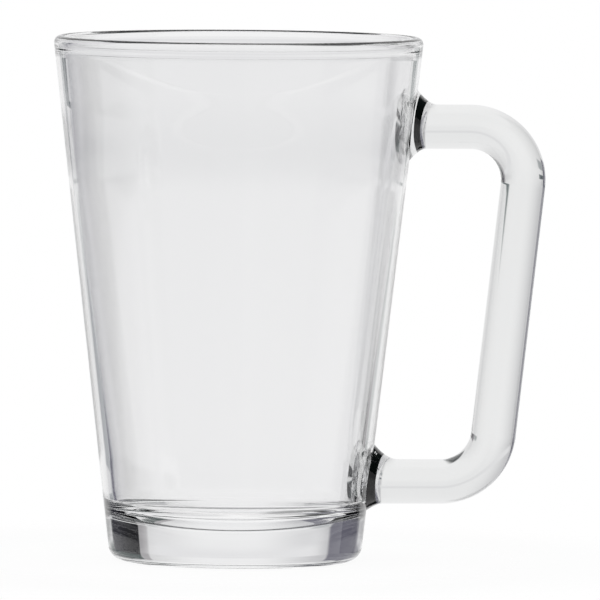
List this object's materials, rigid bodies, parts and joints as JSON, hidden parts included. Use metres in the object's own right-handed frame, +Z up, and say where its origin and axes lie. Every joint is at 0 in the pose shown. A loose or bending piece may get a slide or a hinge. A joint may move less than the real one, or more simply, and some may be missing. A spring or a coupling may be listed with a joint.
{
  "type": "tea glass",
  "caption": "Tapered clear glass mug with a thick solid base and a squared loop handle fused to its side, for tea and other hot or cold drinks.",
  "frame": {"origin": "the point where the axis of the vessel meets the table, at the middle of the flat underside", "axes": "+Z up along the axis of the vessel, +X out through the handle, +Y away from the side that the picture shows"},
  "size_m": [0.0979, 0.0732, 0.104],
  "materials": {
    "vessel_glass": "clear fire-polished soda-lime glass with a faint cool tint",
    "handle_glass": "clear fire-polished soda-lime glass, solid, with a faint cool tint"
  },
  "bodies": {
    "root": {"vessel": "vessel_glass", "handle": "handle_glass"}
  },
  "joints": []
}
